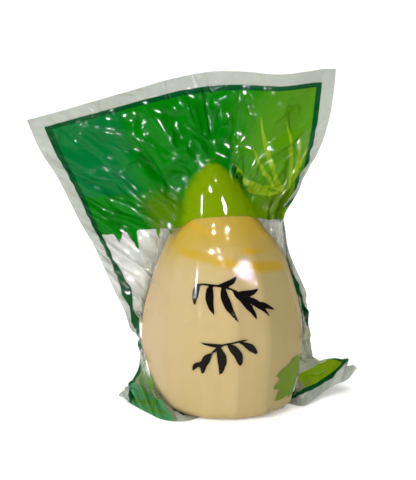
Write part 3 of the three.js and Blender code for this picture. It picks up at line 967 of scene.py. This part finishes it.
# Fine creases, ripples and the knurl pressed into the seal, as a height in millimetres.
def reliefGroup():
    group = bpy.data.node_groups.new("filmRelief", "ShaderNodeTree")
    for name, kind in (("place", "Vector"), ("inside", "Float"), ("loose", "Float")):
        group.interface.new_socket(name, in_out="INPUT", socket_type="NodeSocket" + kind)
    group.interface.new_socket("height", in_out="OUTPUT", socket_type="NodeSocketFloat")
    start, end = group.nodes.new("NodeGroupInput"), group.nodes.new("NodeGroupOutput")
    place, inside, loose = (start.outputs[name] for name in ("place", "inside", "loose"))
    # long rounded creases that wander and close on themselves, in patches
    broad = noise(group, place, *relief["crease"])
    swing = maths(group, "COSINE", times(group, broad, 2 * math.pi * relief["creaseTurns"]))
    crease = maths(group, "POWER", plus(group, times(group, swing, 0.5), 0.5), relief["creaseSharp"])
    scale, none, full = relief["creasePatches"]
    onFlesh, offFlesh = relief["creaseHeight"]
    patches = rise(group, noise(group, place, scale, 1.0), none, full)
    strength = times(group, patches, plus(group, times(group, loose, offFlesh), onFlesh))
    fine = times(group, noise(group, place, *relief["fine"]), relief["fineHeight"])
    height = plus(group, times(group, crease, strength), fine)
    pitch, depth = relief["knurl"]
    parts = turnedParts(group, place, math.pi / 4)
    knurl = times(group, *(waves(group, part, pitch) for part in parts), depth)
    seal = without(group, rise(group, inside, pouch["sealWidth"], pouch["sealWidth"] + relief["sealFade"]))
    height = plus(group, height, times(group, knurl, seal))
    # patches of fine even ripples
    scale, none, full = relief["ripplePatches"]
    pitch, depth, turn = relief["ripple"]
    where = rise(group, noise(group, place, scale, 1.0), none, full)
    ripple = times(group, waves(group, turnedParts(group, place, turn)[0], pitch), depth)
    height = plus(group, height, times(group, ripple, where))
    group.links.new(height, end.inputs["height"])
    return group


flatPlace, filmRelief = flatGroup(), reliefGroup()


# The printed top part: teal at the left, green in the middle, and yellower to the right and low down.
def headerInk(tree, u, v, cloud, front):
    look = filmFinish
    sway = times(tree, minus(tree, cloud, 0.5), look["sway"])
    slope, none, full = look["leafFrom"]
    slant = plus(tree, minus(tree, u, times(tree, v, slope)), sway)
    ink = blend(tree, rise(tree, slant, none, full), look["green"], look["leafGreen"])
    up, across, share = look["limeFrom"]
    low = times(tree, rise(tree, plus(tree, v, sway), *up), rise(tree, u, *across), share)
    ink = blend(tree, low, ink, look["lime"])
    across, swayAcross, up, swayUp = look["tealFrom"]
    teal = times(tree, rise(tree, plus(tree, u, times(tree, sway, swayAcross)), *across),
                 rise(tree, plus(tree, v, times(tree, sway, swayUp)), *up))
    ink = blend(tree, teal, ink, look["teal"])
    if front:
        ink = blend(tree, mark(tree, "onFlesh", look["fleshSoft"]), ink, look["olive"])
    return blend(tree, times(tree, mark(tree, "grass"), look["grassShare"]), ink, look["grass"])


# The clear margin of the seal and the dark border inside it, as masks.
def edgeShares(tree, u, v, inside):
    look = filmFinish
    acrossEar, upEar = look["earMargin"]
    ear = times(tree, rise(tree, u, *acrossEar), rise(tree, v, *upEar))
    inside = maths(tree, "MAXIMUM", inside, times(tree, ear, u))
    first, last = look["band"]
    seal = rise(tree, inside, first + look["line"], first - look["line"])
    wider, above, below = look["sideBand"]
    reach = minus(tree, inside, times(tree, rise(tree, v, *above), rise(tree, v, *below), wider))
    band = times(tree, without(tree, seal), rise(tree, reach, last + look["line"], last - look["line"]))
    return seal, band, inside


# The clear film: its colour and how much it covers, and how loose it is. Off the shoot it covers more and is
# greyer, partly from the doubled film and brine and partly as painted reflection of film seen at a slant; low
# down it is darker and more olive.
def clearFilm(tree, u, v):
    look = filmFinish
    low = rise(tree, v, *look["hazeBelow"])
    slope, none, full = look["edgeHaze"]
    atEdge = times(tree, rise(tree, plus(tree, u, times(tree, v, slope)), none, full), low)
    gap = node(tree, "Attribute", attribute_name="onFlesh").outputs["Fac"]
    loose = maths(tree, "MAXIMUM", rise(tree, gap, *look["looseFrom"]), atEdge)
    offFlesh, lower = look["haze"]
    cover = plus(tree, look["clearCover"], times(tree, loose, plus(tree, times(tree, low, lower), offFlesh)))
    colour = blend(tree, low, look["clear"], look["hazeTint"])
    colour = blend(tree, loose, look["tight"], colour)
    return blend(tree, atEdge, colour, look["edgeTint"]), cover, loose


def filmMaterial(name, front, gloss):
    material, tree, shader = newMaterial(name)
    look = filmFinish
    flat = node(tree, "Group", node_tree=flatPlace).outputs
    u, v, place = flat["across"], flat["up"], flat["place"]
    cloud = noise(tree, place, look["cloud"])
    ink, header = headerInk(tree, u, v, cloud, front), mark(tree, "header")
    seal, band, inside = edgeShares(tree, u, v, flat["inside"])
    colour, cover, loose = clearFilm(tree, u, v)
    if not front:
        panel = rise(tree, v, look["panel"] - look["panelEdge"], look["panel"] + look["panelEdge"])
        colour = blend(tree, panel, colour, look["white"])
        cover = maths(tree, "MAXIMUM", cover, times(tree, panel, look["panelCover"]))
    colour = blend(tree, header, colour, ink)
    cover = maths(tree, "MAXIMUM", cover, header)
    for markName, inkName, depth in look["inks"] if front else ():
        share = times(tree, mark(tree, markName), depth)
        colour = blend(tree, share, colour, look[inkName])
        cover = maths(tree, "MAXIMUM", cover, share)
    colour = blend(tree, band, colour, look["bandInk"])
    cover = maths(tree, "MAXIMUM", cover, band)
    colour = blend(tree, seal, colour, look["sealTint"])
    cover = plus(tree, times(tree, cover, without(tree, seal)), times(tree, seal, look["sealCover"]))
    fed = {"place": place, "inside": inside, "loose": loose}
    height = node(tree, "Group", fed, node_tree=filmRelief).outputs["height"]
    bump = node(tree, "Bump", {"Height": height, "Strength": 1.0, "Distance": 0.001}).outputs[0]
    least, more = look["rough"]
    rough = plus(tree, least, times(tree, cloud, more))
    for socket, value in (("Base Color", colour), ("Alpha", cover), ("Normal", bump), ("Roughness", rough)):
        tree.links.new(value, shader.inputs[socket])
    shader.inputs["IOR"].default_value = look["index"]
    shader.inputs["Specular IOR Level"].default_value = gloss
    return material


# The clear film and the printed film differ in how strongly they shine, so each has its own material slot.
def splitByPrint(piece, u, v):
    inside = np.minimum(np.minimum(u, pouch["width"] - u), np.minimum(v, pouch["length"] - v))
    first, last = filmFinish["band"]
    values = [np.minimum(inside - first, last + filmFinish["sideBand"][0] - inside)]
    for name in ("header", "patch", "ear", "ink", "lowGrass", "leftEar"):
        if name in piece.data.attributes:
            values.append(np.empty(len(piece.data.vertices), np.float32))
            piece.data.attributes[name].data.foreach_get("value", values[-1])
    printedHere = np.maximum.reduce(values) > -printed["inkMargin"]
    corners = np.empty(len(piece.data.polygons) * 4, int)
    piece.data.polygons.foreach_get("vertices", corners)
    piece.data.polygons.foreach_set("material_index", printedHere[corners].reshape(-1, 4).any(1).astype(int))


for film, nodeName, front, flat in ((frontFilm, "front_film", True, (frontU, frontV)),
                                    (backFilm, "back_film", False, (backU, backV))):
    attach(film, "root")
    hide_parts(nodeName)
    for part, gloss in filmFinish["gloss"].items():
        film.data.materials.append(filmMaterial(film.name + part.capitalize(), front, gloss))
    splitByPrint(film, *flat)
    print(film.name, len(film.data.polygons), "faces")


# The stage.
view = {"lens": 83.3, "sensor": 36, "distance": 0.600, "elevation": 12.0, "aim": (-0.0092, 0.0, 0.0917)}
stage = {
    "floor": (0.90, 0.90, 0.89, 1),
    "floorRough": 0.9,
    "paperGlow": 0.19,
    "sky": (0.20, 0.20, 0.20, 1),
    "skySeen": (0.50, 0.50, 0.495, 1),    # beyond the floor's end, in views from the sides
    "sweep": (9.0, -3.0, 1.1, 0.9, 4.0),  # width, front edge, start of the bend, its radius, and height
    "sweepSteps": 12,
    "lookAt": (0.0, 0.0, 0.09),
}

# Place, width, height and watts of each lamp. The soft ones light the object, and only the glossy film shows
# the thin ones, as glints.
softLamps = {
    "overhead": ((0.0, 0.10, 2.10), 2.20, 2.20, 37.0),
    "softLeft": ((-0.95, -0.95, 0.85), 0.70, 0.70, 16.0),
    "softRight": ((0.95, -0.75, 0.50), 0.70, 0.70, 3.5),
}
glintLamps = {
    "glintHigh": ((-0.25, -0.95, 1.05), 0.18, 0.016, 32.0),
    "glintLeft": ((-0.80, -0.75, 0.45), 0.016, 0.17, 26.0),
    "glintNear": ((-0.42, -1.05, 0.42), 0.018, 0.10, 16.0),
    "glintRight": ((0.62, -0.80, 0.60), 0.014, 0.17, 20.0),
    "glintTop": ((0.35, -0.60, 1.20), 0.16, 0.016, 20.0),
    "glintLow": ((0.30, -1.10, 0.12), 0.055, 0.020, 9.0),
}


# The floor sweeps up behind into a backdrop.
def sweptFloor():
    mesh = bmesh.new()
    wide, near, far, bend, tall = stage["sweep"]
    path = [(near, 0.0), (far, 0.0)]
    for t in np.linspace(0, math.pi / 2, stage["sweepSteps"] + 1)[1:]:
        path.append((far + bend * math.sin(t), bend * (1 - math.cos(t))))
    path.append((far + bend, tall))
    line = [mesh.verts.new((-wide / 2, y, z)) for y, z in path]
    edges = [mesh.edges.new(pair) for pair in zip(line, line[1:])]
    moved = bmesh.ops.extrude_edge_only(mesh, edges=edges)["geom"]
    moved = [item for item in moved if isinstance(item, bmesh.types.BMVert)]
    bmesh.ops.translate(mesh, vec=(wide, 0, 0), verts=moved)
    bmesh.ops.recalc_face_normals(mesh, faces=mesh.faces)
    for face in mesh.faces:
        face.smooth = True
    return newPiece("floor", mesh)


floor = sweptFloor()
paper, _, paperShader = newMaterial("floorPaper")
paperShader.inputs["Base Color"].default_value = stage["floor"]
paperShader.inputs["Roughness"].default_value = stage["floorRough"]
paperShader.inputs["Emission Color"].default_value = (1, 1, 1, 1)
paperShader.inputs["Emission Strength"].default_value = stage["paperGlow"]
floor.data.materials.append(paper)

camera = bpy.data.objects.new("camera", bpy.data.cameras.new("camera"))
bpy.context.scene.collection.objects.link(camera)
camera.data.lens = view["lens"]
camera.data.sensor_width = view["sensor"]
tilt = math.radians(view["elevation"])
camera.location = Vector(view["aim"]) + view["distance"] * Vector((0, -math.cos(tilt), math.sin(tilt)))
camera.rotation_euler = (math.pi / 2 - tilt, 0, 0)
bpy.context.scene.camera = camera


def hangLamp(name, place, wide, high, watts, glint):
    lamp = bpy.data.lights.new(name, "AREA")
    lamp.shape = "RECTANGLE"
    lamp.energy, lamp.size, lamp.size_y = watts, wide, high
    holder = bpy.data.objects.new(name, lamp)
    holder.location = place
    holder.rotation_euler = (Vector(stage["lookAt"]) - Vector(place)).to_track_quat("-Z", "Y").to_euler()
    bpy.context.scene.collection.objects.link(holder)
    holder.visible_diffuse = not glint
    holder.visible_glossy = glint


for lamps, glint in ((softLamps, False), (glintLamps, True)):
    for name, lamp in lamps.items():
        hangLamp(name, *lamp, glint)

world = bpy.data.worlds.new("studio")
world.use_nodes = True
tree = world.node_tree
seen = node(tree, "LightPath").outputs["Is Camera Ray"]
sky = blend(tree, seen, stage["sky"], stage["skySeen"])
tree.links.new(sky, tree.nodes["Background"].inputs["Color"])
bpy.context.scene.world = world
bpy.context.scene.view_settings.view_transform = "Standard"
print("stage", len(softLamps) + len(glintLamps), "lamps")
